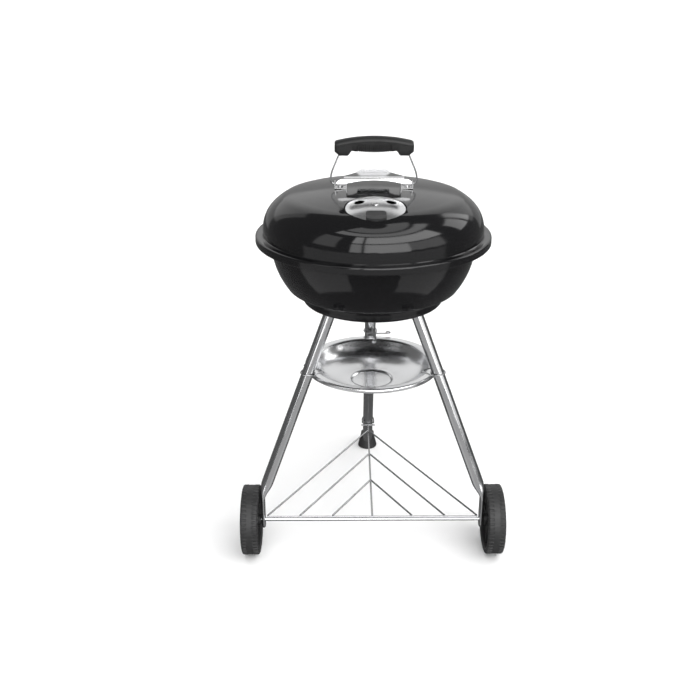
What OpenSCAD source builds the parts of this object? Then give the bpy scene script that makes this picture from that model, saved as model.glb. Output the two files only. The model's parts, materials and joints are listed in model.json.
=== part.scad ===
// Kettle charcoal grill on three legs, with two wheels, an ash pan and a wire shelf.
// Millimetres, +Z up, +Y towards the single rear leg. The ground is Z = 0.

/* [Kettle] */
// Outer radius of the lid's rolled rim
rim_r = 245; // [243:0.5:247]
// Height of the top of the lid's rim above the ground
rim_z = 692; // [690:0.5:694]
// Outer radius of the bowl's wall under the rim
bowl_r = 213.5; // [212:0.5:215]
// Outer radius of the stepped bottom of the bowl
bottom_r = 149.5; // [148:0.5:150]
// Height of the underside of the bowl above the ground
bottom_z = 543.5; // [543:0.5:545]
// Thickness of the enamelled steel sheet
sheet_t = 1.5; // [1.2:0.1:1.6]

/* [Legs] */
// Angle of the legs from the vertical
leg_splay = 23.6; // [23.4:0.1:23.8]
// Distance from the kettle's axis at which the legs' axes reach the ground
leg_foot_r = 336.5; // [335:0.5:338]
// Outer radius of the leg tubes
leg_r = 12.7; // [12.5:0.1:12.7]
// Wall of the leg tubes
leg_wall = 1.4; // [1.2:0.1:2]

/* [Wheels] */
// Outer radius of the wheels
wheel_r = 76; // [74:0.5:76]
// Width of the tread
wheel_w = 38; // [36:0.5:38]
// Distance from the middle of the grill to the middle of each tread
wheel_x = 265.4; // [265:0.2:267]
// Distance of the axle in front of the kettle's axis
axle_y = 138; // [137:0.5:139]
// Radius of the axle
axle_r = 4; // [4:0.1:4.2]

/* [Ash pan] */
// Outer radius of the pan's lip
pan_r = 147.5; // [145:0.5:148]
// Height of the top of the pan's lip above the ground
pan_z = 396; // [392:0.5:396]
// Depth of the pan from its lip to its floor
pan_depth = 42; // [38:1:44]

/* [Lid handle] */
// Height of the top of the grip above the ground
grip_top_z = 889; // [888:0.5:890]
// Length of the grip
grip_l = 159; // [158:0.5:160]
// Width of the grip, front to back
grip_w = 32; // [30:0.5:34]
// Radius of the bail's wire
bail_r = 1.75; // [1.6:0.05:1.9]

/* [Dampers] */
// Radius of the lid's damper disc
lid_damper_r = 58; // [57:0.5:58]
// Radius of the domed face of the lid's damper disc
lid_damper_dome_r = 214; // [205:1:230]
// Radius of each bowl damper disc
bowl_damper_r = 32; // [30:0.5:33]

/* [Grates] */
// Spacing of the cooking grate's rods
cooking_pitch = 15; // [14:0.5:18]
// Spacing of the charcoal grate's rods
charcoal_pitch = 24; // [22:1:28]

/* [Hidden] */
$fn = 96;
small = 0.01;

// The part's origin is under the middle of its outline, between the front of the lid's rim and the
// back of the rear foot, so the kettle's axis stands in front of it.
foot_r = 24.5;
foot_y = 334;
kettle_y = -(foot_y + foot_r - rim_r) / 2;

// Azimuths of the legs about the kettle's axis: front left, front right, rear.
leg_azimuths = [210, 330, 90];
function leg_r_at(z) = leg_foot_r - z * tan(leg_splay);

module place() translate([0, kettle_y, 0]) children();
// Puts a child that stands on a leg's axis at height z, with its own +Z up along the leg.
module on_leg(azimuth, z)
    rotate([0, 0, azimuth]) translate([leg_r_at(z), 0, z]) rotate([0, -leg_splay, 0]) children();

// ---- curves and sheet profiles -------------------------------------------------------------
function bezier(a, b, c, d, n) = [for (i = [0:n]) let (t = i / n, s = 1 - t)
    s * s * s * a + 3 * s * s * t * b + 3 * s * t * t * c + t * t * t * d];
function arc(centre, r, from, to, n) = [for (i = [0:n]) let (a = from + (to - from) * i / n)
    centre + r * [cos(a), sin(a)]];
function side(p, i, t) = let (
        a = p[max(i - 1, 0)],
        b = p[min(i + 1, len(p) - 1)],
        d = (b - a) / norm(b - a))
    p[i] + t * [-d[1], d[0]];
function reversed(p) = [for (i = [len(p) - 1:-1:0]) p[i]];
// A sheet of thickness t on the left of path p, or on its right when t is negative.
function sheet(p, t) = concat(p, reversed(
    [for (i = [0:len(p) - 1]) let (q = side(p, i, t)) [max(0, q[0]), q[1]]]));

function unit(v) = v / norm(v);
function heading(p, i) = unit(p[min(i + 1, len(p) - 1)] - p[max(i - 1, 0)]);
// Rounds every corner of path p, starting and ending each bend at a distance d from the corner.
function rounded(p, d) = concat([p[0]],
    [for (i = [1:len(p) - 2]) let (a = p[i] - d * unit(p[i] - p[i - 1]), b = p[i] + d * unit(p[i + 1] - p[i]))
        for (k = [0:4]) let (t = k / 4) (1 - t) * (1 - t) * a + 2 * t * (1 - t) * p[i] + t * t * b],
    [p[len(p) - 1]]);
// A round wire of radius r swept along path p, with ten sides.
module bent_wire(p, r) {
    sides = 10;
    last = len(p) - 1;
    start = unit(cross(heading(p, 0), [0.31, 0.52, 0.79]));
    normals = [
        for (i = 0, n = start; i <= last; i = i + 1, n = unit(n - (n * heading(p, i)) * heading(p, i))) n
    ];
    polyhedron(
        points = [for (i = [0:last], k = [0:sides - 1]) let (a = 360 * k / sides)
            p[i] + r * (cos(a) * normals[i] + sin(a) * cross(heading(p, i), normals[i]))],
        faces = concat(
            [[for (k = [0:sides - 1]) k]],
            [[for (k = [sides - 1:-1:0]) last * sides + k]],
            [for (i = [0:last - 1], k = [0:sides - 1]) let (a = i * sides, b = a + sides, m = (k + 1) % sides)
                [a + k, b + k, b + m, a + m]]));
}
// A straight wire, with ten sides.
module wire(from, to, r) {
    d = to - from;
    translate(from)
        rotate([0, acos(d[2] / norm(d)), atan2(d[1], d[0])])
            cylinder(r = r, h = norm(d), $fn = 10);
}

// ---- bowl ----------------------------------------------------------------------------------
corner_r = 8;
ledge_z = 577.5;
ledge_r = 181;
bowl_mid_z = 676;
bowl_curve_h = 183;
flange_z = rim_z - 3.6;
flange_r = rim_r - 5.5;
curl_r = 4;
function bowl_wall_r(z) = bowl_r * sqrt(1 - pow((bowl_mid_z - z) / bowl_curve_h, 2));
wall_start_z = ledge_z + 4;
bowl_path = concat(
    [[0, bottom_z]],
    arc([bottom_r - corner_r, bottom_z + corner_r], corner_r, -90, 0, 5),
    bezier([bottom_r, bottom_z + 16], [bottom_r, bottom_z + 20], [bottom_r + 1, bottom_z + 23],
        [bottom_r + 6, bottom_z + 25], 4),
    bezier([ledge_r - 8, ledge_z - 3.5], [ledge_r - 3, ledge_z - 1.6],
        [ledge_r - 0.5, ledge_z], [bowl_wall_r(wall_start_z), wall_start_z], 4),
    [for (i = [1:10]) let (z = wall_start_z + (bowl_mid_z - 6 - wall_start_z) * i / 10) [bowl_wall_r(z), z]],
    bezier([bowl_r, bowl_mid_z], [bowl_r, bowl_mid_z + 9], [bowl_r + 4, flange_z], [bowl_r + 12, flange_z], 4),
    arc([flange_r - curl_r, flange_z - curl_r], curl_r, 90, 0, 4),
    [[flange_r, flange_z - 8]]
);

// Each bowl damper covers three ash holes on a circle about its rivet.
bowl_damper_at = 78;
bowl_damper_azimuths = [270, 30, 150];
ash_hole_r = 8;
ash_hole_at = 18;
rivet_r = 3;
rivet_gap = 0.08;
module on_bowl_damper(azimuth) rotate([0, 0, azimuth]) translate([bowl_damper_at, 0, bottom_z]) children();
module three_holes(r, at, h)
    for (a = [0, 120, 240]) rotate([0, 0, a]) translate([at, 0, -h / 2]) cylinder(r = r, h = h);

module bowl() place() color([0.03, 0.03, 0.03]) difference() {
    rotate_extrude($fn = 180) polygon(sheet(bowl_path, sheet_t));
    for (a = bowl_damper_azimuths) on_bowl_damper(a) {
        three_holes(ash_hole_r, ash_hole_at, 8);
        translate([0, 0, -4]) cylinder(r = rivet_r, h = 8);
    }
}

bowl_damper_t = 1.2;
bowl_damper_gap = 0.4;
module bowl_damper(azimuth) place() on_bowl_damper(azimuth) color([0.75, 0.76, 0.78])
    translate([0, 0, -bowl_damper_gap - bowl_damper_t]) {
        difference() {
            union() {
                cylinder(r = bowl_damper_r, h = bowl_damper_t);
                translate([bowl_damper_r - 3, -7, 0]) cube([11, 14, bowl_damper_t]);
                translate([bowl_damper_r + 8 - bowl_damper_t, -7, -8]) cube([bowl_damper_t, 14, 8 + small]);
            }
            three_holes(ash_hole_r, ash_hole_at, 8);
            translate([0, 0, -2]) cylinder(r = rivet_r + rivet_gap, h = 6);
        }
    }
module bowl_damper_rivets() place() color("silver") for (a = bowl_damper_azimuths) on_bowl_damper(a) {
    low = -2 * bowl_damper_gap - bowl_damper_t;
    translate([0, 0, low]) cylinder(r = rivet_r, h = sheet_t - low);
    translate([0, 0, low - 2]) cylinder(r = 6, h = 2);
    translate([0, 0, sheet_t]) cylinder(r = 5, h = 1.5);
}

// ---- grates --------------------------------------------------------------------------------
cooking_z = 664;
cooking_r = 203;
cooking_wire = 2;
charcoal_z = 577.4;
charcoal_r = 171;
grate_rim_wire = 3;

// A welded grate: a round rim with straight rods on top, and two cross rods under them.
module grate(r, z, pitch, rod_r, cross_at) {
    count = floor((r - pitch / 2) / pitch);
    rod_z = z + grate_rim_wire + rod_r - 0.8;
    translate([0, 0, z]) rotate_extrude() translate([r - grate_rim_wire, 0])
        circle(r = grate_rim_wire, $fn = 8);
    for (i = [-count:count]) let (x = i * pitch, half = sqrt(pow(r - grate_rim_wire, 2) - x * x))
        wire([x, -half, rod_z], [x, half, rod_z], rod_r);
    for (y = [-cross_at, cross_at]) let (half = sqrt(pow(r - grate_rim_wire, 2) - y * y))
        wire([-half, y, z], [half, y, z], grate_rim_wire - 0.2);
}
module cooking_grate() place() color([0.8, 0.8, 0.8])
    grate(cooking_r, cooking_z, cooking_pitch, cooking_wire, 85);
// A lifting handle stands on the cooking grate's outer rod at each side.
handle_half = 30;
handle_h = 14;
handle_x = cooking_pitch * floor((cooking_r - cooking_pitch / 2) / cooking_pitch);
handle_z = cooking_z + grate_rim_wire + 2 * cooking_wire - 0.7;
module grate_handles() place() color([0.8, 0.8, 0.8])
    for (s = [-1, 1]) translate([s * handle_x, 0, handle_z]) bent_wire(rounded([
        [0, -handle_half, 0], [0, -handle_half, handle_h],
        [0, handle_half, handle_h], [0, handle_half, 0]], 6), 2.5);
module charcoal_grate() place() color([0.45, 0.45, 0.45]) grate(charcoal_r, charcoal_z, charcoal_pitch, 3, 70);

// Four bent tabs welded inside the bowl, under the cooking grate's rim.
bracket_top_z = cooking_z - grate_rim_wire - 0.3;
bracket_out = bowl_r - 2.8;
module grate_brackets() place() color([0.1, 0.1, 0.1]) for (a = [45:90:315]) rotate([0, 0, a])
    translate([0, 9, 0]) rotate([90, 0, 0]) linear_extrude(18) polygon([
        [bracket_out - 17, bracket_top_z], [bracket_out, bracket_top_z],
        [bracket_out - 2.2, bracket_top_z - 15],
        [bracket_out - 4, bracket_top_z - 15], [bracket_out - 2, bracket_top_z - 1.8],
        [bracket_out - 17, bracket_top_z - 1.8]]);

// ---- legs ----------------------------------------------------------------------------------
socket_gap = 0.2;
socket_wall = 1.8;
socket_r = leg_r + socket_gap + socket_wall;
socket_low_z = 527;
leg_top_z = 537.5;
screw_z = 532.3;
screw_r = 2.4;
module screw_hole(azimuth, r)
    on_leg(azimuth, screw_z) rotate([0, -90, 0]) cylinder(r = r, h = 2 * leg_r, $fn = 32);

module leg_socket(azimuth) place() color([0.05, 0.05, 0.05]) difference() {
    on_leg(azimuth, socket_low_z) cylinder(r = socket_r, h = 60);
    on_leg(azimuth, socket_low_z) translate([0, 0, -1]) cylinder(r = leg_r + socket_gap, h = 80);
    translate([-rim_r, -rim_r, bottom_z]) cube([2 * rim_r, 2 * rim_r, 80]);
    screw_hole(azimuth, screw_r);
}
module tube(azimuth, z0, z1) difference() {
    h = (z1 - z0) / cos(leg_splay);
    on_leg(azimuth, z0) cylinder(r = leg_r, h = h);
    on_leg(azimuth, z0) translate([0, 0, -1]) cylinder(r = leg_r - leg_wall, h = h + 2);
    screw_hole(azimuth, screw_r);
}
// A front leg turns upright and flattens towards the axle.
flat_t = 8;
flat_w = 31;
bend_top_z = 166;
bend_low_z = 128;
leg_end_z = 60;
leg_end_x = 239;
flat_section = concat(
    arc([0, (flat_w - flat_t) / 2], flat_t / 2, 0, 180, 8),
    arc([0, -(flat_w - flat_t) / 2], flat_t / 2, 180, 360, 8));
module flat_solid(side_x, h)
    translate([side_x * leg_end_x, -axle_y, 0]) linear_extrude(h) polygon(flat_section);
module leg_transition(azimuth, side_x) hull() {
    on_leg(azimuth, bend_top_z + 2) cylinder(r = leg_r - 0.2, h = 0.1, $fn = 32);
    translate([0, 0, bend_low_z]) flat_solid(side_x, 0.1);
}
module front_leg(azimuth, side_x) place() color([0.82, 0.82, 0.84]) difference() {
    union() {
        tube(azimuth, bend_top_z, leg_top_z);
        leg_transition(azimuth, side_x);
        translate([0, 0, leg_end_z]) flat_solid(side_x, bend_low_z - leg_end_z + 0.1);
    }
    translate([side_x * leg_end_x - 10, -axle_y, wheel_r])
        rotate([0, 90, 0]) cylinder(r = axle_r + 0.1, h = 20, $fn = 48);
}
module rear_leg() place() color([0.82, 0.82, 0.84]) tube(leg_azimuths[2], 14, leg_top_z);
module leg_screws() place() color("silver") for (a = leg_azimuths) on_leg(a, screw_z) rotate([0, -90, 0]) {
    translate([0, 0, leg_r - leg_wall - 3])
        cylinder(r = screw_r - 0.05, h = socket_r - leg_r + leg_wall + 3, $fn = 32);
    translate([0, 0, socket_r]) cylinder(r = 5, h = 3.5, $fn = 6);
}
// The rear leg stands in a flared cap, moulded with an upright axis.
foot_h = 40;
module rear_foot() place() color([0.06, 0.06, 0.06]) difference() {
    translate([0, foot_y, 0]) rotate_extrude() polygon(concat(
        [[0, 0], [foot_r - 2, 0]],
        arc([foot_r - 2, 2], 2, -90, 0, 3),
        bezier([foot_r, 5], [foot_r - 2, 15], [17.5, 27], [17, foot_h], 6),
        [[0, foot_h]]));
    on_leg(leg_azimuths[2], 14) translate([0, 0, -0.3]) cylinder(r = leg_r + 0.15, h = 60);
}

// ---- axle and wheels -----------------------------------------------------------------------
axle_end = wheel_x + wheel_w / 2 - 1;
hub_in = leg_end_x + flat_t / 2 + 1;
hub_out = wheel_x + wheel_w / 2 - 4;
hub_r = 13;
cap_r = 22;
cap_out = wheel_x + wheel_w / 2 + 3;
module on_axle(side_x) translate([0, -axle_y, wheel_r]) rotate([0, side_x * 90, 0]) children();
module axle() place() color([0.85, 0.85, 0.86])
    on_axle(1) translate([0, 0, -axle_end]) cylinder(r = axle_r, h = 2 * axle_end);
module axle_push_caps() place() color("silver") for (s = [-1, 1]) on_axle(s) difference() {
    translate([0, 0, hub_out + 0.4]) cylinder(r = 8, h = 2.2);
    cylinder(r = axle_r, h = 2 * wheel_x);
}
rim_in_r = wheel_r - 11;
module wheel(side_x) place() color([0.07, 0.07, 0.07]) on_axle(side_x) difference() {
    union() {
        translate([0, 0, wheel_x - wheel_w / 2]) rotate_extrude() polygon([
            [rim_in_r, 1], [rim_in_r + 3, 0], [wheel_r - 5, 0], [wheel_r, 4],
            [wheel_r, wheel_w - 4], [wheel_r - 5, wheel_w], [rim_in_r + 3, wheel_w], [rim_in_r, wheel_w - 1]]);
        translate([0, 0, wheel_x - 3]) cylinder(r = rim_in_r + 1, h = 6);
        translate([0, 0, hub_in]) cylinder(r = hub_r, h = hub_out - hub_in);
        for (a = [0:45:315]) rotate([0, 0, a])
            translate([hub_r - 2, -2, wheel_x - 12]) cube([rim_in_r - hub_r + 3, 4, 24]);
    }
    cylinder(r = axle_r + 0.08, h = 2 * wheel_x);
    translate([0, 0, wheel_x + 6]) cylinder(r = cap_r + 0.3, h = 40);
}
module hub_cap(side_x) place() color([0.1, 0.1, 0.1]) on_axle(side_x) difference() {
    translate([0, 0, wheel_x + 6.2]) cylinder(r1 = cap_r, r2 = cap_r - 1, h = cap_out - wheel_x - 6.2);
    translate([0, 0, wheel_x + 5]) cylinder(r = hub_r + 0.3, h = cap_out - wheel_x - 6.5);
}

// ---- wire shelf ----------------------------------------------------------------------------
shelf_wire = 2;
shelf_z = wheel_r + axle_r + shelf_wire;
shelf_half = 230;
shelf_slope = 1.72;
chevrons = [shelf_half, 159, 87];
t_bar_y = leg_foot_r - 88 * tan(leg_splay) - leg_r / cos(leg_splay) - shelf_wire - 1;
t_bar_z = 88;
t_bar_half = 17.5;
weld = 0.4;
// Three bent wires lie across the front wire and the middle wire, welded where they cross.
module wire_shelf() place() color([0.85, 0.85, 0.86]) {
    front = [0, -axle_y, shelf_z];
    top = front + [0, 0, 2 * shelf_wire - weld];
    wire(front - [shelf_half + 2, 0, 0], front + [shelf_half + 2, 0, 0], shelf_wire);
    for (half = chevrons)
        bent_wire(
            rounded([top - [half, 0, 0], top + [0, half * shelf_slope, 0], top + [half, 0, 0]], 6), shelf_wire
        );
    bent_wire(
        rounded([front, front + [0, shelf_half * shelf_slope, 0], [0, t_bar_y, t_bar_z]], 8), shelf_wire
    );
    wire([-t_bar_half, t_bar_y, t_bar_z], [t_bar_half, t_bar_y, t_bar_z], shelf_wire);
}
// A spring wire round the back of the rear leg holds the shelf's cross bar.
hook_wire = 1.6;
hook_r = leg_r + hook_wire + 0.4;
module shelf_hook() place() color([0.85, 0.85, 0.86]) on_leg(leg_azimuths[2], t_bar_z + 9.5)
    bent_wire(concat(
        [[-hook_r, 6 - hook_r, 8]],
        rounded([[-hook_r + 3, -hook_r, 2], [-hook_r + 3, -hook_r, 0], [-4, -hook_r, 0]], 1.5),
        [for (a = [-90:15:90]) hook_r * [cos(a), sin(a), 0]],
        rounded([[-4, hook_r, 0], [-hook_r + 3, hook_r, 0], [-hook_r + 3, hook_r, 2]], 1.5),
        [[-hook_r, hook_r - 6, 8]]), hook_wire);

// ---- ash pan and its clips -----------------------------------------------------------------
pan_t = 1.2;
recess_r = 45;
floor_z = pan_z - pan_depth;
pan_path = concat(
    [[0, floor_z - 4], [recess_r - 3, floor_z - 4], [recess_r, floor_z - 1]],
    bezier([recess_r + 3, floor_z], [85, floor_z + 1], [108, floor_z + 10], [122, floor_z + 31], 8),
    bezier([126, pan_z - 5], [128, pan_z - 2], [130, pan_z - pan_t], [134, pan_z - pan_t], 3),
    arc([pan_r - pan_t - 3, pan_z - pan_t - 3], 3, 90, 0, 3),
    [[pan_r - pan_t, pan_z - 8]]);
module ash_pan() place() color([0.78, 0.79, 0.8]) rotate_extrude($fn = 180) polygon(sheet(pan_path, pan_t));

clip_wire = 1.5;
clip_ring_r = leg_r + clip_wire + 0.3;
clip_z = 403;
clip_rise = 4;
finger_eye_r = 5;
finger_eye_at = clip_ring_r + 27;
pan_eye_r = 3.2;
pan_eye = [-40, 7.5, -8];
// A spring wire round the leg. One end is a finger eye, and the other goes over the pan's lip and
// ends in an eye inside the pan. The side s is -1 or 1, and turn swings the finger eye round the leg.
module pan_clip(azimuth, s, turn) {
    in_x = -clip_ring_r / cos(leg_splay);
    start = 180 + turn;
    function swung(x, y) = [x * cos(turn) - y * sin(turn), x * sin(turn) + y * cos(turn), 0];
    place() color([0.85, 0.85, 0.86]) rotate([0, 0, azimuth])
        translate([leg_r_at(clip_z), 0, clip_z]) scale([1, s, 1])
        bent_wire(concat(
            [for (a = [-60:40:180])
                swung(in_x + finger_eye_r * (1 + cos(a)), finger_eye_at + finger_eye_r * sin(a))],
            [swung(in_x, 8)],
            [for (i = [0:18]) let (a = start + (450 - start) * i / 18, z = clip_rise * i / 18)
                [clip_ring_r * cos(a) / cos(leg_splay) - z * tan(leg_splay), clip_ring_r * sin(a), z]],
            [[-10, clip_ring_r, clip_rise], [-22, 12.5, 2], [-34, 11.5, -3]],
            [for (a = [0:40:280]) pan_eye + pan_eye_r * [-0.75 * sin(a), cos(a), -0.66 * sin(a)]]),
            clip_wire);
}

// ---- lid -----------------------------------------------------------------------------------
crown_z = 785;
shoulder_r = 180;
shoulder_z = 771;
lid_wall_r = 229;
cap_r2 = (pow(shoulder_r, 2) / (crown_z - shoulder_z) + (crown_z - shoulder_z)) / 2;
function cap_z(r) = crown_z - cap_r2 + sqrt(cap_r2 * cap_r2 - r * r);
lid_path = concat(
    [for (i = [0:6]) let (r = (shoulder_r - 5) * i / 6) [r, cap_z(r)]],
    bezier([shoulder_r + 4, shoulder_z - 2], [206, 756], [lid_wall_r, rim_z + 46],
        [lid_wall_r, rim_z + 8], 14),
    bezier([lid_wall_r, rim_z + 4], [lid_wall_r, rim_z + 1], [lid_wall_r + 1, rim_z],
        [lid_wall_r + 5, rim_z], 3),
    arc([rim_r - 4.5, rim_z - 4.5], 4.5, 90, 0, 4),
    arc([rim_r - 2.2, rim_z - 13.8], 2.2, 0, -90, 3));
module lid_solid(inset) rotate_extrude($fn = 180) polygon(concat(
    [for (i = [0:len(lid_path) - 9]) side(lid_path, i, -inset)], [[0, rim_z + 2]]));

// The lid's damper turns on a domed seat, pressed into the lid and leaning towards the front.
seat_r = lid_damper_r + 4;
seat_y = -131;
seat_apex_z = 782.3;
seat_tilt = 9.3;
damper_t = 1.2;
damper_gap = 0.4;
vent_hole_r = 10.25;
vent_hole_at = 36;
module on_seat() translate([0, seat_y, seat_apex_z]) rotate([seat_tilt, 0, 0]) children();
// A domed sheet between two depths below the damper's outer face.
module dome(r, depth, t) intersection() {
    difference() {
        translate([0, 0, -lid_damper_dome_r]) sphere(r = lid_damper_dome_r - depth, $fn = 180);
        translate([0, 0, -lid_damper_dome_r]) sphere(r = lid_damper_dome_r - depth - t, $fn = 180);
    }
    translate([0, 0, -20]) cylinder(r = r, h = 22);
}
module lid_seat() intersection() {
    on_seat() {
        dome(seat_r - small, damper_t + damper_gap, sheet_t);
        difference() {
            translate([0, 0, -14.5]) cylinder(r = seat_r, h = 16);
            translate([0, 0, -16]) cylinder(r = seat_r - sheet_t, h = 18);
        }
    }
    lid_solid(0);
}
bolt_x = 68;
bolt_r = 3;
module lid() place() color([0.03, 0.03, 0.03]) difference() {
    union() {
        difference() {
            rotate_extrude($fn = 180) polygon(sheet(lid_path, -sheet_t));
            on_seat() translate([0, 0, -30]) cylinder(r = seat_r - sheet_t / 2, h = 60);
        }
        lid_seat();
    }
    on_seat() {
        rotate([0, 0, 30]) three_holes(vent_hole_r, vent_hole_at, 60);
        translate([0, 0, -15]) cylinder(r = rivet_r, h = 20);
    }
    for (s = [-1, 1]) translate([s * bolt_x, 0, 760]) cylinder(r = bolt_r, h = 40);
}
module lid_damper() place() color([0.85, 0.86, 0.87]) on_seat() difference() {
    dome(lid_damper_r, 0, damper_t);
    rotate([0, 0, 30]) three_holes(vent_hole_r, vent_hole_at, 40);
    translate([0, 0, -10]) cylinder(r = rivet_r + rivet_gap, h = 20);
}
module lid_damper_rivet() place() color("silver") on_seat() {
    low = -damper_t - damper_gap - sheet_t - 0.05;
    translate([0, 0, low]) cylinder(r = rivet_r, h = 0.3 - low);
    translate([0, 0, 0.3]) cylinder(r1 = 6, r2 = 4.5, h = 1.6);
    translate([0, 0, low - 1.5]) cylinder(r = 5, h = 1.5);
}
// A moulded thumb tab stands on the front of the damper.
tab_in = 29;
tab_out = 57.5;
module lid_damper_tab() place() color([0.12, 0.12, 0.12]) on_seat() difference() {
    intersection() {
        translate([0, 0, -12]) linear_extrude(30) polygon(concat(
            [[-19.5, -tab_out], [19.5, -tab_out]],
            arc([12.5, -tab_in - 7], 7, 0, 90, 4),
            arc([-12.5, -tab_in - 7], 7, 90, 180, 4)));
        rotate([0, 90, 0]) translate([0, 0, -25]) linear_extrude(50) polygon([
            [12, -tab_out - 1], [4, -tab_out - 1], [0.5, -tab_out + 5],
            [0.5, -45], [-0.6, -tab_in + 1], [12, -tab_in + 1]]);
        translate([0, 0, -20]) cylinder(r = lid_damper_r - 0.1, h = 40);
    }
    translate([0, 0, -lid_damper_dome_r]) sphere(r = lid_damper_dome_r, $fn = 180);
}

// ---- lid handle ----------------------------------------------------------------------------
shield_z = 809;
shield_half_x = 76;
shield_half_y = 27;
shield_t = 1.2;
strap_t = 2;
strap_half_y = 11;
riser_x = 57;
ear_x = 80;
pin_z = 792;
strap_top_z = shield_z - shield_t;
foot_top_z = cap_z(riser_x - strap_t) + strap_t + 0.05;
// A bent strap: two feet on the lid, two risers, a bridge, and an ear at each end for the bail.
half_strap = [
    [riser_x - strap_t, strap_top_z - strap_t], [riser_x - strap_t, foot_top_z - strap_t],
    [ear_x, foot_top_z - strap_t], [ear_x, foot_top_z + 11], [ear_x - strap_t, foot_top_z + 11],
    [ear_x - strap_t, foot_top_z], [riser_x, foot_top_z], [riser_x, strap_top_z]];
module handle_bracket() place() color([0.7, 0.7, 0.72]) difference() {
    translate([0, strap_half_y, 0]) rotate([90, 0, 0]) linear_extrude(2 * strap_half_y)
        polygon(concat(half_strap, reversed([for (p = half_strap) [-p[0], p[1]]])));
    for (s = [-1, 1]) translate([s * bolt_x, 0, 770]) cylinder(r = bolt_r + 0.2, h = 30);
    translate([-ear_x - 5, 0, pin_z])
        rotate([0, 90, 0]) cylinder(r = bail_r + 0.15, h = 2 * ear_x + 10, $fn = 32);
}
module handle_bolts() place() color("silver") for (s = [-1, 1]) translate([s * bolt_x, 0, 0]) {
    translate([0, 0, foot_top_z - 14]) cylinder(r = bolt_r - 0.1, h = 14);
    translate([0, 0, foot_top_z]) cylinder(r1 = 6, r2 = 4, h = 3);
}
nut_z = cap_z(bolt_x + 7) - sheet_t - 5;
module handle_nuts() place() color("silver") for (s = [-1, 1]) translate([s * bolt_x, 0, nut_z]) difference() {
    cylinder(r = 6, h = 4.5, $fn = 6);
    translate([0, 0, -1]) cylinder(r = bolt_r - 0.1, h = 8);
}
// The heat shield is a pressed plate with a lip bent down along the front and along the back.
lip_h = 11;
lip_arch_r = 244.5;
lip_arch_z = 3.5;
module shield_lip() rotate([90, 0, 0]) linear_extrude(shield_t) difference() {
    polygon([
        [-shield_half_x + 15, shield_z], [shield_half_x - 15, shield_z],
        [shield_half_x, shield_z - 6], [shield_half_x, shield_z - lip_h],
        [-shield_half_x, shield_z - lip_h], [-shield_half_x, shield_z - 6]]);
    translate([0, shield_z - lip_arch_z - lip_arch_r]) circle(r = lip_arch_r, $fn = 180);
}
module handle_heat_shield() place() color([0.86, 0.86, 0.87]) difference() {
    union() {
        translate([0, 0, shield_z - shield_t]) linear_extrude(shield_t) polygon([
            [-shield_half_x + 15, -shield_half_y], [shield_half_x - 15, -shield_half_y],
            [shield_half_x - 15, -4], [38, shield_half_y], [-38, shield_half_y], [-shield_half_x + 15, -4]]);
        translate([0, -shield_half_y + shield_t, 0]) shield_lip();
    }
    for (s = [-1, 1]) translate([s * 30, 0, shield_z - 5]) cylinder(r = 2, h = 10);
}
// A plain name plate stands behind the heat shield's top.
badge_z = 796;
badge_top_z = 816;
module badge_plate() place() color([0.8, 0.8, 0.82]) translate([0, shield_half_y + 1.4, 0]) rotate([90, 0, 0])
    linear_extrude(1.3) polygon(concat(
        [[-33, badge_z], [33, badge_z], [36, shield_z]],
        arc([25, badge_top_z - 3], 3, 40, 90, 3), arc([-25, badge_top_z - 3], 3, 90, 140, 3),
        [[-36, shield_z]]));

// The bail: one wire, with a pin in each ear and its middle inside the grip.
bail_out = 87.7;
bail_hook_r = 8.5;
bail_bow_r = 53;
bail_lean = 23;
bow_z = pin_z + bail_hook_r;
straight_x = bail_out - bail_bow_r * (1 - cos(bail_lean));
straight_z = bow_z + bail_bow_r * sin(bail_lean);
inner_z = 871;
grip_low_z = grip_top_z - 38;
inner_x = straight_x - (inner_z - straight_z) * tan(bail_lean);
half_bail = concat(
    [[ear_x - 6, pin_z]],
    arc([bail_out - bail_hook_r, bow_z], bail_hook_r, -90, 0, 6),
    [
        for (i = [1:6])
            [bail_out - bail_bow_r, bow_z] + bail_bow_r * [cos(bail_lean * i / 6), sin(bail_lean * i / 6)]
    ],
    [[inner_x + (inner_z - grip_low_z) * tan(bail_lean), grip_low_z]],
    rounded([[inner_x + 9 * tan(bail_lean), inner_z - 9], [inner_x, inner_z], [inner_x - 9, inner_z]], 7));
module bail_wire() place() color([0.88, 0.88, 0.9]) bent_wire(concat(
    [for (p = half_bail) [p[0], 0, p[1]]],
    [for (p = reversed(half_bail)) [-p[0], 0, p[1]]]), bail_r);

// The grip: an arched bar with a dropped block at each end and a gentle swell under the fingers.
grip_half = grip_l / 2;
bail_slot = 2 * bail_r + 0.5;
slot_low_x = inner_x + (inner_z - grip_low_z) * tan(bail_lean);
finger_z = grip_top_z - 28;
finger_step = bezier([grip_half - 29, grip_low_z + 4], [grip_half - 30, finger_z - 2],
    [grip_half - 32, finger_z], [grip_half - 38, finger_z], 4);
module grip_outline() polygon(concat(
    arc([0, grip_top_z - 330], 330, 103.2, 76.8, 12),
    [[grip_half, grip_low_z + 8], [grip_half - 10, grip_low_z], [grip_half - 25, grip_low_z]],
    finger_step,
    [for (i = [-3:3]) [-i * 12, finger_z - 4 * (1 - pow(i / 3.5, 2))]],
    reversed([for (p = finger_step) [-p[0], p[1]]]),
    [[-grip_half + 25, grip_low_z], [-grip_half + 10, grip_low_z], [-grip_half, grip_low_z + 8]]));
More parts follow.
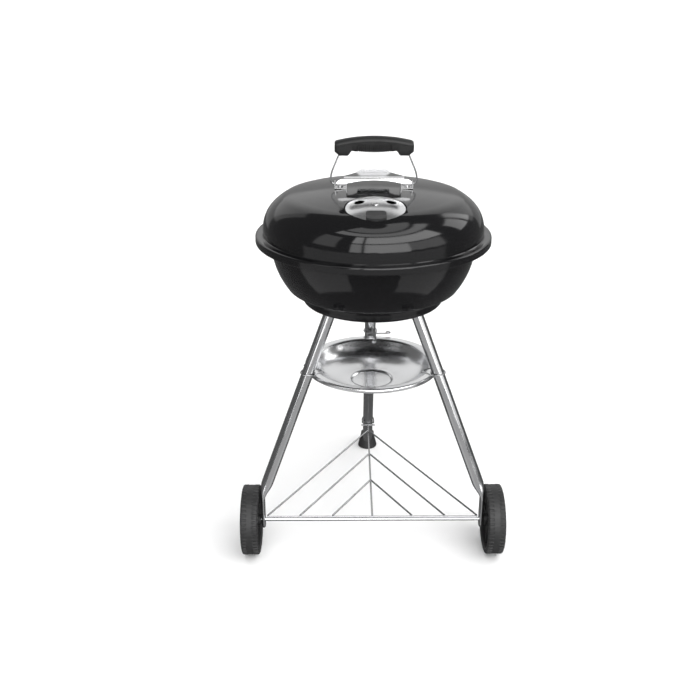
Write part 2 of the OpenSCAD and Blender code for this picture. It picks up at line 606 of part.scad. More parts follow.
module handle_grip() place() color([0.05, 0.05, 0.05]) difference() {
    intersection() {
        translate([0, grip_w / 2, 0]) rotate([90, 0, 0]) linear_extrude(grip_w) grip_outline();
        translate([-grip_l, 0, 0]) rotate([90, 0, 90]) linear_extrude(2 * grip_l) polygon(concat(
            [[-grip_w / 2, grip_low_z - 1], [grip_w / 2, grip_low_z - 1]],
            arc([grip_w / 2 - 10, grip_top_z - 10], 10, 0, 90, 5),
            arc([-grip_w / 2 + 10, grip_top_z - 10], 10, 90, 180, 5)));
    }
    // The bail's middle lies in a bore, and each end of it leaves through a slot.
    translate([-inner_x, 0, inner_z]) rotate([0, 90, 0]) cylinder(r = bail_r + 0.1, h = 2 * inner_x, $fn = 32);
    translate([0, bail_slot / 2, 0]) rotate([90, 0, 0]) linear_extrude(bail_slot)
        for (s = [-1, 1]) scale([s, 1])
        polygon([
            [inner_x - 12, inner_z + 3], [inner_x + 3, inner_z + 3], [slot_low_x + 3, grip_low_z - 1],
            [slot_low_x - 4, grip_low_z - 1], [inner_x - 12, inner_z - 5]]);
}

bowl();
leg_socket(leg_azimuths[0]);  // leg_socket_left
leg_socket(leg_azimuths[1]);  // leg_socket_right
leg_socket(leg_azimuths[2]);  // leg_socket_rear
front_leg(leg_azimuths[0], -1);  // front_left_leg
front_leg(leg_azimuths[1], 1);  // front_right_leg
rear_leg();
leg_screws();
rear_foot();
axle();
axle_push_caps();
wheel(-1);  // left_wheel
wheel(1);  // right_wheel
hub_cap(-1);  // left_hub_cap
hub_cap(1);  // right_hub_cap
wire_shelf();
shelf_hook();
ash_pan();
pan_clip(leg_azimuths[0], -1, 10);  // pan_clip_left
pan_clip(leg_azimuths[1], 1, 20);  // pan_clip_right
pan_clip(leg_azimuths[2], -1, 0);  // pan_clip_rear
bowl_damper(bowl_damper_azimuths[0]);  // bowl_damper_front
bowl_damper(bowl_damper_azimuths[1]);  // bowl_damper_right
bowl_damper(bowl_damper_azimuths[2]);  // bowl_damper_left
bowl_damper_rivets();
grate_brackets();
charcoal_grate();
cooking_grate();
grate_handles();
lid();
lid_damper();
lid_damper_tab();
lid_damper_rivet();
handle_bracket();
handle_bolts();
handle_nuts();
handle_heat_shield();
badge_plate();
bail_wire();
handle_grip();
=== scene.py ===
import json
import math

import bmesh
import bpy
from mathutils import Matrix, Vector


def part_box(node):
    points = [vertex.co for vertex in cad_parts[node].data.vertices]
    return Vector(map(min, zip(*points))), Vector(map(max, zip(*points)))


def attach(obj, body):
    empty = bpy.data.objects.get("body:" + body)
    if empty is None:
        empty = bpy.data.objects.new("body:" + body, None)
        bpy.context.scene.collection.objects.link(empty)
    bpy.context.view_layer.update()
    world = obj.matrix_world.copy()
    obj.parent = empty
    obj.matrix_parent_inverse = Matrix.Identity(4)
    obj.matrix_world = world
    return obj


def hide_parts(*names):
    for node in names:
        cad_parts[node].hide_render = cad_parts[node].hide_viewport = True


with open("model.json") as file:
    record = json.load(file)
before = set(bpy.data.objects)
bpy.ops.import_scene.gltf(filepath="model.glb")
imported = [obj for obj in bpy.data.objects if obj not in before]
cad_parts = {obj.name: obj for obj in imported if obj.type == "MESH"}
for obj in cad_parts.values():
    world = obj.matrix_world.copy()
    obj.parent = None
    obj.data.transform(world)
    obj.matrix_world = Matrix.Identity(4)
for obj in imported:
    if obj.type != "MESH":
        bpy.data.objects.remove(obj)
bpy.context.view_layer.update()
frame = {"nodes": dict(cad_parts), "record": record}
nodes = frame["nodes"]


# ---- materials -----------------------------------------------------------------------------
class Shade:
    """One Principled material and short calls for the nodes that feed it."""

    def __init__(self, name, color, metallic=0.0, roughness=0.4, coat=0.0, specular=0.5):
        self.mat = bpy.data.materials.new(name)
        self.mat.use_nodes = True
        self.tree = self.mat.node_tree
        self.bsdf = self.tree.nodes["Principled BSDF"]
        self.bsdf.inputs["Base Color"].default_value = (*color, 1.0)
        self.bsdf.inputs["Metallic"].default_value = metallic
        self.bsdf.inputs["Roughness"].default_value = roughness
        self.bsdf.inputs["Coat Weight"].default_value = coat
        self.bsdf.inputs["Coat Roughness"].default_value = 0.03
        self.bsdf.inputs["Specular IOR Level"].default_value = specular
        self.height = None

    def node(self, kind, **values):
        made = self.tree.nodes.new(kind)
        for key, value in values.items():
            setattr(made, key, value)
        return made

    def link(self, out, socket):
        self.tree.links.new(out, socket)

    def place(self, scale=(1, 1, 1)):
        """Object coordinates, stretched by scale."""
        coord = self.node("ShaderNodeTexCoord")
        mapping = self.node("ShaderNodeMapping")
        mapping.inputs["Scale"].default_value = scale
        self.link(coord.outputs["Object"], mapping.inputs["Vector"])
        return mapping.outputs["Vector"]

    def noise(self, scale, detail=3.0, stretch=(1, 1, 1), rough=0.55):
        made = self.node("ShaderNodeTexNoise")
        made.inputs["Scale"].default_value = scale
        made.inputs["Detail"].default_value = detail
        made.inputs["Roughness"].default_value = rough
        self.link(self.place(stretch), made.inputs["Vector"])
        return made.outputs["Fac"]

    def radius(self, centre):
        """Distance from the upright axis through centre, in metres."""
        coord = self.node("ShaderNodeTexCoord")
        away = self.node("ShaderNodeVectorMath", operation="SUBTRACT")
        away.inputs[1].default_value = (centre[0], centre[1], 0.0)
        flat = self.node("ShaderNodeVectorMath", operation="MULTIPLY")
        flat.inputs[1].default_value = (1.0, 1.0, 0.0)
        length = self.node("ShaderNodeVectorMath", operation="LENGTH")
        self.link(coord.outputs["Object"], away.inputs[0])
        self.link(away.outputs[0], flat.inputs[0])
        self.link(flat.outputs[0], length.inputs[0])
        return length.outputs["Value"]

    def rings(self, centre, pitch):
        """Fine turned rings about an upright axis."""
        combine = self.node("ShaderNodeCombineXYZ")
        self.link(self.radius(centre), combine.inputs["X"])
        made = self.node("ShaderNodeTexNoise")
        made.inputs["Scale"].default_value = 1.0 / pitch
        made.inputs["Detail"].default_value = 2.0
        self.link(combine.outputs[0], made.inputs["Vector"])
        return made.outputs["Fac"]

    def ramp(self, source, low, high, at=(0.0, 1.0)):
        """Maps a 0 to 1 signal between two values."""
        made = self.node("ShaderNodeMapRange")
        made.inputs["From Min"].default_value = at[0]
        made.inputs["From Max"].default_value = at[1]
        made.inputs["To Min"].default_value = low
        made.inputs["To Max"].default_value = high
        self.link(source, made.inputs["Value"])
        return made.outputs["Result"]

    def mix_color(self, factor, a, b):
        made = self.node("ShaderNodeMix", data_type="RGBA")
        made.inputs["A"].default_value = (*a, 1.0)
        made.inputs["B"].default_value = (*b, 1.0)
        self.link(factor, made.inputs["Factor"])
        self.link(made.outputs["Result"], self.bsdf.inputs["Base Color"])
        return self

    def rough(self, source, low, high, at=(0.3, 0.7)):
        self.link(self.ramp(source, low, high, at), self.bsdf.inputs["Roughness"])
        return self

    def bump(self, source, distance, strength=1.0):
        made = self.node("ShaderNodeBump")
        made.inputs["Strength"].default_value = strength
        made.inputs["Distance"].default_value = distance
        self.link(source, made.inputs["Height"])
        if self.height:
            self.link(self.height, made.inputs["Normal"])
        self.height = made.outputs["Normal"]
        self.link(self.height, self.bsdf.inputs["Normal"])
        return self


def enamel(name):
    """Glossy black porcelain enamel: a slight orange peel, faint dust and fingerprints."""
    s = Shade(name, (0.0045, 0.0045, 0.005), roughness=0.08, specular=0.5)
    s.rough(s.noise(14, 5), 0.05, 0.16)
    s.bump(s.noise(160, 2), 0.000015)
    s.bump(s.noise(9, 1), 0.00006)
    s.mix_color(s.ramp(s.noise(900, 2), 0, 1, (0.62, 0.8)), (0.0045, 0.0045, 0.005), (0.016, 0.016, 0.017))
    return s.mat


def plated(name, tone=0.72, rough=(0.06, 0.2), stretch=(1, 1, 1)):
    """Chrome plate with fine draw lines and a little haze."""
    s = Shade(name, (tone, tone, tone * 1.02), metallic=1.0, roughness=0.12)
    s.rough(s.noise(45, 5, stretch), *rough)
    s.bump(s.noise(700, 2, stretch), 0.00003)
    s.mix_color(s.noise(18, 4), (tone * 0.86, tone * 0.87, tone * 0.9), (tone, tone, tone))
    return s.mat


def spun(name, centre, tone=0.8, rough=(0.14, 0.34)):
    """Spun aluminium: turned rings, cloudy polish and small handling marks."""
    s = Shade(name, (tone, tone, tone * 1.01), metallic=1.0, roughness=0.22)
    rings = s.rings(centre, 0.0011)
    s.rough(s.noise(22, 5), *rough)
    s.bump(rings, 0.00002, 0.6)
    s.bump(s.noise(9, 2), 0.0003)
    s.mix_color(s.noise(12, 6), (tone * 0.9, tone * 0.91, tone * 0.93), (tone, tone, tone))
    return s.mat


def brushed(name, stretch, tone=0.78, rough=(0.12, 0.32)):
    """Flat steel or aluminium, brushed along one axis."""
    s = Shade(name, (tone, tone, tone), metallic=1.0, roughness=0.22)
    s.rough(s.noise(260, 4, stretch), *rough)
    s.bump(s.noise(420, 3, stretch), 0.00005)
    s.mix_color(s.noise(30, 5, stretch), (tone * 0.84, tone * 0.84, tone * 0.86), (tone, tone, tone))
    return s.mat


def moulded(name, tone=0.02, rough=(0.38, 0.56), grain=1500):
    """Moulded black plastic: fine spark-eroded grain and slight wear."""
    s = Shade(name, (tone, tone, tone), roughness=0.48)
    s.rough(s.noise(40, 4), *rough)
    s.bump(s.noise(grain, 3), 0.00012, 0.7)
    s.mix_color(s.noise(60, 6), (tone * 0.75,) * 3, (tone * 1.5, tone * 1.5, tone * 1.55))
    return s.mat


kettle_centre = tuple((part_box("bowl")[0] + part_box("bowl")[1]) / 2)
MATERIALS = {
    "enamel": enamel("black_enamel"),
    "dark_steel": enamel("black_enamel_small"),
    "chrome": plated("chrome_tube", 0.6, (0.08, 0.2), (1, 1, 0.05)),
    "chrome_rod": plated("chrome_rod", 0.74, (0.06, 0.2), (0.05, 1, 1)),
    "chrome_wire": plated("chrome_wire", 0.5, (0.1, 0.26)),
    "plated_grate": plated("plated_grate", 0.62, (0.12, 0.34)),
    "grate_steel": brushed("grate_steel", (1, 0.05, 1), 0.38, (0.35, 0.6)),
    "zinc": brushed("zinc_plate", (1, 1, 1), 0.66, (0.2, 0.42)),
    "polished_steel": brushed("polished_steel", (0.03, 1, 1), 0.82, (0.1, 0.26)),
    "aluminium": spun("spun_aluminium", kettle_centre, 0.84, (0.17, 0.25)),
    "black_plastic": moulded("black_plastic"),
    "grip_plastic": moulded("grip_plastic", 0.006, (0.44, 0.58), 1900),
    "wheel_plastic": moulded("wheel_plastic", 0.018, (0.42, 0.6), 1100),
}
SLOT_OF = {s["node"]: s["material_slot"] for s in frame["record"]["subparts"]}


def paint(obj, material):
    obj.data.materials.clear()
    obj.data.materials.append(material)


def even_shading(obj):
    """Turned sheet whose bands of cone shade as one smooth curve, apart from its real edges."""
    merge = obj.modifiers.new("weld", "WELD")
    merge.merge_threshold = 0.00001
    split = obj.modifiers.new("split", "EDGE_SPLIT")
    split.split_angle = math.radians(32)
    split.use_edge_sharp = False
    blend = obj.modifiers.new("blend", "WEIGHTED_NORMAL")
    blend.weight = 50
    blend.keep_sharp = True


for name, obj in nodes.items():
    paint(obj, MATERIALS[SLOT_OF[name]])
for name in ("lid", "bowl", "ash_pan"):
    even_shading(nodes[name])


# ---- mesh tools ----------------------------------------------------------------------------
MM = 0.001
KETTLE_Y = kettle_centre[1]


def at(x, y, z):
    """A point given in millimetres from the foot of the kettle's axis, in metres in the row frame."""
    return Vector((x * MM, y * MM + KETTLE_Y, z * MM))


def piece(name, verts, faces, slot, body, replaces=(), sharp=40.0, material=None):
    """A mesh that rides on a body: outward normals, smooth, with creases over the sharp angle."""
    mesh = bpy.data.meshes.new(name)
    bm = bmesh.new()
    made = [bm.verts.new(v) for v in verts]
    for face in faces:
        bm.faces.new([made[i] for i in face])
    bmesh.ops.remove_doubles(bm, verts=bm.verts, dist=1e-6)
    bmesh.ops.recalc_face_normals(bm, faces=bm.faces)
    for face in bm.faces:
        face.smooth = True
    for edge in bm.edges:
        if len(edge.link_faces) == 2 and edge.calc_face_angle() > math.radians(sharp):
            edge.smooth = False
    bm.to_mesh(mesh)
    bm.free()
    obj = bpy.data.objects.new(name, mesh)
    bpy.context.scene.collection.objects.link(obj)
    paint(obj, material or MATERIALS[slot])
    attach(obj, body)
    if replaces:
        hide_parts(*replaces)
    return obj


def bevel(obj, width_mm, segments=3, angle=35.0):
    made = obj.modifiers.new("bevel", "BEVEL")
    made.width = width_mm * MM
    made.segments = segments
    made.limit_method = "ANGLE"
    made.angle_limit = math.radians(angle)
    made.harden_normals = True
    return obj


def bezier(a, b, c, d, n):
    a, b, c, d = (Vector(p) for p in (a, b, c, d))
    steps = [i / n for i in range(n + 1)]
    return [(1 - t) ** 3 * a + 3 * (1 - t) ** 2 * t * b + 3 * (1 - t) * t * t * c + t**3 * d for t in steps]


def arc(centre, r, start, end, n):
    angles = [math.radians(start + (end - start) * i / n) for i in range(n + 1)]
    return [Vector((centre[0] + r * math.cos(a), centre[1] + r * math.sin(a))) for a in angles]


def rounded(points, d, n=5):
    """A path with each inner corner rounded over a distance d."""
    points = [Vector(p) for p in points]
    out = [points[0]]
    for before, here, after in zip(points, points[1:], points[2:]):
        a = here + (before - here).normalized() * d
        b = here + (after - here).normalized() * d
        for k in range(n + 1):
            t = k / n
            out.append((1 - t) ** 2 * a + 2 * t * (1 - t) * here + t * t * b)
    out.append(points[-1])
    return out


def tube(points, radius, sides=18, closed=False):
    """Vertices and faces of a round tube along points. radius is one number, or one for each point."""
    count = len(points)
    radii = radius if isinstance(radius, (list, tuple)) else [radius] * count
    verts, faces = [], []

    def heading(i):
        if closed:
            return (points[(i + 1) % count] - points[i - 1]).normalized()
        return (points[min(i + 1, count - 1)] - points[max(i - 1, 0)]).normalized()

    normal = heading(0).orthogonal().normalized()
    for i in range(count):
        t = heading(i)
        normal = (normal - normal.dot(t) * t).normalized()
        side = t.cross(normal)
        for k in range(sides):
            a = 2 * math.pi * k / sides
            verts.append(points[i] + radii[i] * (math.cos(a) * normal + math.sin(a) * side))
    for i in range(count if closed else count - 1):
        j = (i + 1) % count
        for k in range(sides):
            m = (k + 1) % sides
            faces.append((i * sides + k, i * sides + m, j * sides + m, j * sides + k))
    if not closed:
        faces.append(tuple(range(sides)))
        faces.append(tuple((count - 1) * sides + k for k in range(sides)))
    return verts, faces


def lathe(profile, segments=160, closed=True):
    """Turns a closed outline of (radius, height) pairs, in millimetres, about the upright axis."""
    verts, faces = [], []
    rings = []
    for r, z in profile:
        if r < 1e-4:
            rings.append([len(verts)])
            verts.append(Vector((0, 0, z)))
        else:
            rings.append(list(range(len(verts), len(verts) + segments)))
            for k in range(segments):
                a = 2 * math.pi * k / segments
                verts.append(Vector((r * math.cos(a), r * math.sin(a), z)))
    pairs = list(zip(rings, rings[1:] + rings[:1])) if closed else list(zip(rings, rings[1:]))
    for a, b in pairs:
        if len(a) == 1 and len(b) == 1:
            continue
        for k in range(segments):
            m = (k + 1) % segments
            if len(a) == 1:
                faces.append((a[0], b[m], b[k]))
            elif len(b) == 1:
                faces.append((a[k], a[m], b[0]))
            else:
                faces.append((a[k], a[m], b[m], b[k]))
    return verts, faces


def joined(*parts):
    """Several (vertices, faces) pairs as one."""
    verts, faces = [], []
    for v, f in parts:
        base = len(verts)
        verts.extend(v)
        faces.extend(tuple(i + base for i in face) for face in f)
    return verts, faces


def placed(part, matrix):
    return [matrix @ Vector(v) for v in part[0]], part[1]


def kettle_frame():
    """Millimetres from the kettle's axis to metres in the row frame."""
    return Matrix.Translation(at(0, 0, 0)) @ Matrix.Scale(MM, 4)


def kettle_piece(name, part, *rest, **more):
    """A piece whose mesh is given in millimetres from the kettle's axis."""
    return piece(name, *placed(part, kettle_frame()), *rest, **more)


# ---- wheels --------------------------------------------------------------------------------
WHEEL_R, WHEEL_W, WHEEL_X, AXLE_Y = 76.0, 38.0, 265.4, 138.0
RIBS = 48


def tread():
    """The tyre: two rows of ribs with a smooth band between them, and a rounded shoulder each side."""
    half = WHEEL_W / 2
    # Distance from the wheel's middle plane, radius in a groove, radius on a rib.
    rows = [
        (half - 1.2, 64.8, 64.8), (half, 66.5, 66.5), (half, 69.8, 69.8), (half - 0.4, 70.6, 72.4),
        (half - 1.3, 72.4, 74.6), (half - 3.0, 73.9, 75.8), (half - 6.0, 74.3, 76.0),
        (half - 11.2, 74.4, 76.0), (half - 12.0, 74.9, 75.6), (half - 12.6, 75.4, 75.4),
        (half - 19.0, 75.6, 75.6),
    ]
    rows = rows + [(-x, low, high) for x, low, high in rows[-2::-1]]
    rows += [(-half + 3.0, 63.6, 63.6), (half - 3.0, 63.6, 63.6)]
    steps = [(0.0, 0), (0.1, 1), (0.3, 1), (0.5, 1), (0.6, 0), (0.8, 0)]
    verts, faces = [], []
    columns = RIBS * len(steps)
    for i in range(RIBS):
        for fraction, on_rib in steps:
            a = 2 * math.pi * (i + fraction) / RIBS
            for x, low, high in rows:
                r = high if on_rib else low
                verts.append(Vector((x, r * math.cos(a), r * math.sin(a))))
    n = len(rows)
    for c in range(columns):
        d = (c + 1) % columns
        for k in range(n):
            m = (k + 1) % n
            faces.append((c * n + k, d * n + k, d * n + m, c * n + m))
    return verts, faces


def turned_x(profile, segments=96):
    """Turns an outline of (distance along X, radius) pairs about the X axis."""
    verts, faces = lathe([(r, x) for x, r in profile], segments)
    return [Vector((v.z, v.x, v.y)) for v in verts], faces


def spoke(angle, width, x0, x1, r0, r1):
    """A rib of the wheel's disc: a bar from r0 to r1, x0 to x1 along the axle."""
    verts = []
    for r, w in ((r0, width * 1.5), (r1, width)):
        for x, s in ((x0, -1), (x1, -1), (x1, 1), (x0, 1)):
            verts.append(Matrix.Rotation(angle, 3, "X") @ Vector((x, r, s * w / 2)))
    faces = [(0, 1, 2, 3), (7, 6, 5, 4), (0, 4, 5, 1), (1, 5, 6, 2), (2, 6, 7, 3), (3, 7, 4, 0)]
    return verts, faces


def wheel_frame(side):
    """Millimetres from a wheel's middle, outwards along the axle, to metres in the row frame."""
    outwards = Matrix.Scale(side, 4, (1, 0, 0))
    return Matrix.Translation(at(side * WHEEL_X, -AXLE_Y, WHEEL_R)) @ Matrix.Scale(MM, 4) @ outwards


def wheel(name, side):
    # Each pair is a distance along the axle and a radius.
    disc = [
        (-3, 12.6), (-3, 30), (-4.5, 50), (-9, 63), (-10, 65.6),
        (10, 65.6), (9, 63), (4.5, 50), (3, 30), (3, 12.6),
    ]
    inner_hub = [
        (-20.8, 4.1), (-20.8, 11.6), (-20.0, 12.8), (12.0, 13.0),
        (14.8, 12.2), (15.0, 11.6), (15.0, 4.1),
    ]
    spokes = 8
    parts = [tread(), turned_x(disc), turned_x(inner_hub)]
    for k in range(spokes):
        parts.append(spoke(2 * math.pi * k / spokes, 4.0, -12, 5.8, 12, 65.2))
    return piece(name + "_wheel_moulding", *placed(joined(*parts), wheel_frame(side)), "wheel_plastic",
                 name + "_wheel_assembly", (name + "_wheel",), sharp=30)


def hub_cap(name, side):
    """A shallow round cap: a rolled edge, a raised ring and a dished middle."""
    face = [(6.4, 0), (6.4, 21.6), (17.8, 21.9), (20.4, 21.3), (21.6, 19.8), (21.8, 17.0), (20.9, 15.6),
            (20.3, 13.6), (20.6, 11.8), (21.4, 10.4), (21.9, 6.0), (22.0, 0)]
    return piece(name + "_hub_cap_dished", *placed(turned_x(face), wheel_frame(side)), "black_plastic",
                 name + "_wheel_assembly", (name + "_hub_cap",), sharp=50)


for name, side in (("left", -1), ("right", 1)):
    wheel(name, side)
    hub_cap(name, side)


# ---- legs ----------------------------------------------------------------------------------
LEG_R, LEG_FOOT_R, SPLAY = 12.7, 336.5, math.radians(23.6)


def leg_r_at(z):
    return LEG_FOOT_R - z * math.tan(SPLAY)


def leg_point(azimuth, z):
    a = math.radians(azimuth)
    return Vector((leg_r_at(z) * math.cos(a), leg_r_at(z) * math.sin(a), z))


def front_leg(name, azimuth, side):
    """A tube that bends upright and flattens to a blade at its lower end."""
    end_x, flat_half_t, flat_half_w = side * 239.0, 4.0, 15.5
    flat_from_z, flat_over, tip_z, tip_h = 168, 42, 70, 10.2
    top = leg_point(azimuth, 537.5)
    path = [top, leg_point(azimuth, 400), leg_point(azimuth, 260), leg_point(azimuth, 180)]
    path += bezier(leg_point(azimuth, 166), leg_point(azimuth, 148), Vector((end_x, -AXLE_Y, 142)),
                   Vector((end_x, -AXLE_Y, 126)), 10)
    path += [Vector((end_x, -AXLE_Y, z)) for z in (115, 95, 80, 70, 65, 62, 60.3)]
    sides = 40
    verts, faces = [], []
    for i, p in enumerate(path):
        t = (path[min(i + 1, len(path) - 1)] - path[max(i - 1, 0)]).normalized()
        across = Vector((1, 0, 0))
        across = (across - across.dot(t) * t).normalized()
        along = t.cross(across)
        flat = min(1.0, max(0.0, (flat_from_z - p.z) / flat_over))
        flat = flat * flat * (3 - 2 * flat)
        taper = 1.0
        if p.z <= tip_z:
            taper = math.sqrt(max(0.02, 1 - ((tip_z - p.z) / tip_h) ** 2)) * 0.6 + 0.4
        half_t = LEG_R + (flat_half_t - LEG_R) * flat
        half_w = (LEG_R + (flat_half_w - LEG_R) * flat) * taper
        power = 1.0 - 0.35 * flat
        for k in range(sides):
            a = 2 * math.pi * k / sides
            c, s = math.cos(a), math.sin(a)
            u = half_t * math.copysign(abs(c) ** power, c)
            w = half_w * math.copysign(abs(s) ** power, s)
            verts.append(p + u * across + w * along)
    for i in range(len(path) - 1):
        for k in range(sides):
            m = (k + 1) % sides
            faces.append((i * sides + k, i * sides + m, (i + 1) * sides + m, (i + 1) * sides + k))
    faces.append(tuple(range(sides)))
    faces.append(tuple((len(path) - 1) * sides + k for k in range(sides)))
    return kettle_piece(name + "_tube", (verts, faces), "chrome", "stand", (name,), sharp=50)


front_leg("front_left_leg", 210, -1)
front_leg("front_right_leg", 330, 1)


# ---- wire shelf and its hook ---------------------------------------------------------------
def weld(where, r):
    """A small bead where two wires cross."""
    outline = [(0, -r * 0.62), (r * 0.7, -r * 0.5), (r, 0), (r * 0.7, r * 0.5), (0, r * 0.62)]
    verts, faces = lathe(outline, 14, closed=False)
    return [v + where for v in verts], faces


def wire_shelf():
    wire, slope, half = 2.0, 1.72, 230.0
    low = 82.0
    high = low + 3.6
    parts = [tube([Vector((-half - 2, -AXLE_Y, low)), Vector((half + 2, -AXLE_Y, low))], wire)]
    for reach in (half, 159.0, 87.0):
        tip = (0, -AXLE_Y + reach * slope, high)
        path = rounded([(-reach, -AXLE_Y, high), tip, (reach, -AXLE_Y, high)], 6)
        parts.append(tube(path, wire))
        parts += [weld(Vector((s * reach, -AXLE_Y, (low + high) / 2)), 2.3) for s in (-1, 1)]
        parts.append(weld(Vector((0, -AXLE_Y + reach * slope - 3, (low + high) / 2)), 2.3))
    bar_y = leg_r_at(88) - LEG_R / math.cos(SPLAY) - 3
    middle = rounded([(0, -AXLE_Y, low), (0, -AXLE_Y + half * slope, low), (0, bar_y, 88)], 8)
    parts.append(tube(middle, wire))
    parts.append(tube([Vector((-17.5, bar_y, 88)), Vector((17.5, bar_y, 88))], wire))
    parts += [weld(Vector((0, bar_y, 88)), 2.8), weld(Vector((0, -AXLE_Y, low)), 2.6)]
    return kettle_piece("wire_shelf_welded", joined(*parts), "chrome_wire", "stand",
                        ("wire_shelf",), sharp=60)


wire_shelf()


# ---- bail and grip -------------------------------------------------------------------------
def bail():
    lean = math.radians(23)
    bow = arc((87.7 - 53, 800.5), 53, 0, 23, 10)
    straight_x = 87.7 - 53 * (1 - math.cos(lean))
    straight_z = 800.5 + 53 * math.sin(lean)
    inner_x = straight_x - (871 - straight_z) * math.tan(lean)
    half = [Vector((74, 792))] + arc((87.7 - 8.5, 800.5), 8.5, -90, 0, 8) + bow[1:]
    half += rounded([(straight_x, straight_z), (inner_x, 871), (inner_x - 14, 871)], 7)[1:]
    path = [Vector((p.x, 0, p.y)) for p in half] + [Vector((-p.x, 0, p.y)) for p in reversed(half)]
    wire_r, sides = 1.75, 20
    return kettle_piece("bail_wire_bent", tube(path, wire_r, sides), "chrome_wire", "lid_assembly",
                        ("bail_wire",), sharp=60)


bail()


def grip():
    """The handle's grip: a crowned cover over a dark face, dropped ends and finger ribs underneath."""
    top_z, half_l, half_w = 889.0, 79.5, 16.0
    stations = [-half_l, -half_l + 0.7, -half_l + 2, -half_l + 4, -half_l + 7, -70, -69, -62, -56]
    x = -54.5
    while x < -34.9:
        stations.append(x)
        x += 1.2
    ribs = 17
    pitch = 4.1
    for i in range(ribs):
        base = (i - ribs / 2) * pitch
        stations += [base, base + 0.9, base + 1.4, base + 2.7, base + 3.2]
    stations = sorted(set(round(v, 3) for v in stations))
    stations += [-v for v in reversed(stations) if v < -35]
    verts, faces = [], []
    count = 0
    for x in stations:
        near = abs(x)
        end = max(0.0, (near - (half_l - 5)) / 5)
        back = top_z - (330 - math.sqrt(330**2 - x * x)) - 2.2 * end**2
        if near > 53.5:
            belly = 851.0 + max(0.0, near - 69.5) * 0.8
        elif near > 44.0:
            t = (near - 44.0) / 9.5
            belly = 860.6 - 9.6 * t * t * (3 - 2 * t)
        else:
            belly = 857.0 + 3.6 * (near / 44) ** 2
        groove = 0.0
        if near < ribs * pitch / 2:
            phase = ((x / pitch + ribs / 2) % 1.0) * pitch
            groove = 0.0 if 0.95 < phase < 3.15 else 1.0
        w = (half_w - 1.2 * max(0.0, 1 - near / 50)) * (1 - 0.16 * end**2)
        crease = back - 9.0 + 1.5 * end
        mid = min(crease - 3, belly + (15.5 if near < 40 else 15.5 - min(6.0, (near - 40) * 0.6)))
        half = []
        for a in (90, 72, 55, 40, 26, 13, 3):
            a = math.radians(a)
            half.append((w * math.cos(a), crease + (back - crease) * math.sin(a)))
        half += [(w - 0.1, crease - 0.5), (w - 0.9, crease - 0.9), (w - 1.0, mid),
                 (w - 1.2 - 0.9 * groove, mid - 2.5),
                 (w - 1.5 - 1.3 * groove, belly + 4), (w - 2.6 - 1.3 * groove, belly + 1.6 + 0.5 * groove),
                 (w - 4.6 - 1.0 * groove, belly + 0.3 + 1.2 * groove),
                 (w * 0.45, belly + 0.9 * groove), (0.0, belly + 0.9 * groove)]
        loop = half + [(-y, z) for y, z in reversed(half[1:-1])]
        count = len(loop)
        verts += [Vector((x, y, z)) for y, z in loop]
    for i in range(len(stations) - 1):
        for k in range(count):
            m = (k + 1) % count
            faces.append((i * count + k, i * count + m, (i + 1) * count + m, (i + 1) * count + k))
    faces.append(tuple(range(count)))
    faces.append(tuple((len(stations) - 1) * count + k for k in range(count)))
    return kettle_piece("grip_ribbed", (verts, faces), "grip_plastic", "lid_assembly",
                        ("handle_grip",), sharp=32)


grip()


# ---- heat shield ---------------------------------------------------------------------------
def prism(outline, low, high):
    """Closed sheet between two mappings of a flat outline."""
    verts = [low(p) for p in outline] + [high(p) for p in outline]
    n = len(outline)
    faces = [tuple(range(n)), tuple(range(2 * n - 1, n - 1, -1))]
    faces += [(i, n + i, n + (i + 1) % n, (i + 1) % n) for i in range(n)]
    return verts, faces


def shield_steel():
    """Bright along the front, dark behind."""
    s = Shade("shield_steel", (0.85, 0.85, 0.86), metallic=1.0, roughness=0.2)
    coord = s.node("ShaderNodeTexCoord")
    split = s.node("ShaderNodeSeparateXYZ")
    s.link(coord.outputs["Object"], split.inputs[0])
    front = KETTLE_Y - 0.009
    behind = s.ramp(split.outputs["Y"], 0, 1, (front - 0.0006, front + 0.0006))
    s.mix_color(behind, (0.86, 0.86, 0.87), (0.07, 0.07, 0.072))
    s.rough(s.noise(300, 4, (0.03, 1, 1)), 0.12, 0.3)
    s.bump(s.noise(500, 3, (0.03, 1, 1)), 0.00003)
    return s.mat


def heat_shield():
    """A plate with an arched lip rolled down along its front."""
    top, half, front = 809.0, 76.0, -27.0
    plate = [(-61, front), (61, front), (61, -6), (58, -1), (38, 27), (-38, 27), (-58, -1), (-61, -6)]
    arch = [(56 - 7 * i, top - 3.5 - (244.5 - math.sqrt(244.5**2 - (56 - 7 * i) ** 2))) for i in range(17)]
    side = [(57.5, top - 11), (half - 1.5, top - 11), (half, top - 9.5), (half, top - 7.5),
            (half - 3, top - 4.4), (half - 8, top - 2), (61, top)]
    lip = [(-x, z) for x, z in side[::-1]][:-1] + [(-57.5, top - 11)] + arch[::-1] + side
    slant = math.tan(math.radians(13))

    def lip_at(inset):
        return lambda p: Vector((p[0], front - (top - p[1]) * slant + inset, p[1]))

    parts = [prism(plate, lambda p: Vector((p[0], p[1], top - 1.2)), lambda p: Vector((p[0], p[1], top))),
             prism(lip, lip_at(0.0), lip_at(1.2))]
    obj = kettle_piece("heat_shield_pressed", joined(*parts), "polished_steel", "lid_assembly",
                       ("handle_heat_shield",), sharp=30, material=shield_steel())
    return bevel(obj, 0.35, 2)


heat_shield()


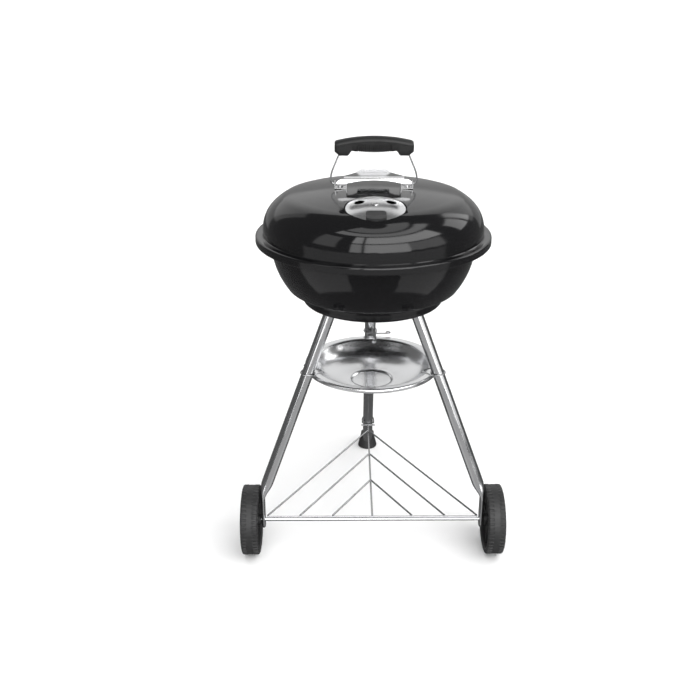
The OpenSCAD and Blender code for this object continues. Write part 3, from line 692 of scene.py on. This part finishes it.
# ---- studio --------------------------------------------------------------------------------
# The room, seen from the grill. Each row is an area of light: azimuth from the front and elevation
# in degrees, low and high, then its brightness. Positive azimuths are on the right.
ROOM = [
    (-25, -13.5, 4, 30, 2.6), (-10.5, 36, 4, 30, 3.4), (36, 76, 6, 30, 1.3),
    (-25, -13.5, 33, 54, 3.4), (-10.5, 82, 33, 54, 3.8),
    (-62, 108, 57, 66, 2.3), (-62, 118, 69, 82, 1.5), (-66, -41, 14, 48, 0.9), (105, 125, 20, 44, 2.2),
    (128, 137, 20, 44, 1.8), (30, 92, -52, -25, 0.5), (-92, -30, -52, -25, 0.5), (-75, 75, -25, 1, 0.4),
    (138, 181, -6, 46, 0.32), (-181, -138, -6, 46, 0.32),
    (130, 181, 13, 46, 0.42), (-181, -130, 13, 46, 0.42),
]


def surroundings():
    world = bpy.data.worlds.new("studio")
    bpy.context.scene.world = world
    world.use_nodes = True
    tree = world.node_tree

    def value(operation, a, b=0.0):
        made = tree.nodes.new("ShaderNodeMath")
        made.operation = operation
        for socket, source in zip(made.inputs, (a, b)):
            if isinstance(source, (int, float)):
                socket.default_value = source
            else:
                tree.links.new(source, socket)
        return made.outputs[0]

    def smooth(source, low, high):
        made = tree.nodes.new("ShaderNodeMapRange")
        made.interpolation_type = "SMOOTHSTEP"
        made.inputs["From Min"].default_value = low
        made.inputs["From Max"].default_value = high
        tree.links.new(source, made.inputs["Value"])
        return made.outputs["Result"]

    def band(source, low, high, soft=1.0):
        fall = value("SUBTRACT", 1.0, smooth(source, high - soft, high + soft))
        return value("MULTIPLY", smooth(source, low - soft, low + soft), fall)

    coord = tree.nodes.new("ShaderNodeTexCoord")
    split = tree.nodes.new("ShaderNodeSeparateXYZ")
    tree.links.new(coord.outputs["Generated"], split.inputs[0])
    x, y, z = split.outputs
    azimuth = value("MULTIPLY", value("ARCTAN2", x, value("MULTIPLY", y, -1.0)), 180 / math.pi)
    elevation = value("MULTIPLY", value("ARCSINE", z), 180 / math.pi)
    light = 0.14
    for left, right, low, high, power in ROOM:
        area = value("MULTIPLY", band(azimuth, left, right), band(elevation, low, high))
        light = value("ADD", light, value("MULTIPLY", area, power))
    # Seen directly, the room is a plain white backdrop.
    direct = tree.nodes.new("ShaderNodeLightPath").outputs["Is Camera Ray"]
    light = value("ADD", value("MULTIPLY", light, value("SUBTRACT", 1.0, direct)), direct)
    background = tree.nodes["Background"]
    background.inputs["Color"].default_value = (1, 1, 1, 1)
    tree.links.new(light, background.inputs["Strength"])


def studio():
    surroundings()
    mesh = bpy.data.meshes.new("floor")
    half = 60.0
    corners = [(-half, -half, 0), (half, -half, 0), (half, half, 0), (-half, half, 0)]
    mesh.from_pydata(corners, [], [(0, 1, 2, 3)])
    floor = bpy.data.objects.new("floor", mesh)
    bpy.context.scene.collection.objects.link(floor)
    s = Shade("pale_floor", (0.95, 0.95, 0.95), roughness=0.8, specular=0.0)
    s.rough(s.noise(3, 2), 0.75, 0.85)
    paint(floor, s.mat)
    floor.visible_glossy = False
    data = bpy.data.lights.new("sky", "SUN")
    data.energy = 1.0
    data.angle = math.radians(100)
    sky = bpy.data.objects.new("sky", data)
    sky.rotation_euler = (math.radians(-8), math.radians(4), 0)
    sky.visible_glossy = False
    bpy.context.scene.collection.objects.link(sky)
    bpy.context.scene.view_settings.view_transform = "Standard"


def camera():
    data = bpy.data.cameras.new("camera")
    data.sensor_width = 36.0
    data.lens = 48.04
    obj = bpy.data.objects.new("camera", data)
    obj.location = (-0.0578, -1.8851 + KETTLE_Y, 1.2339)
    obj.rotation_euler = (math.pi / 2 - 0.4064, 0.0, -0.005)
    bpy.context.scene.collection.objects.link(obj)
    bpy.context.scene.camera = obj


studio()
camera()
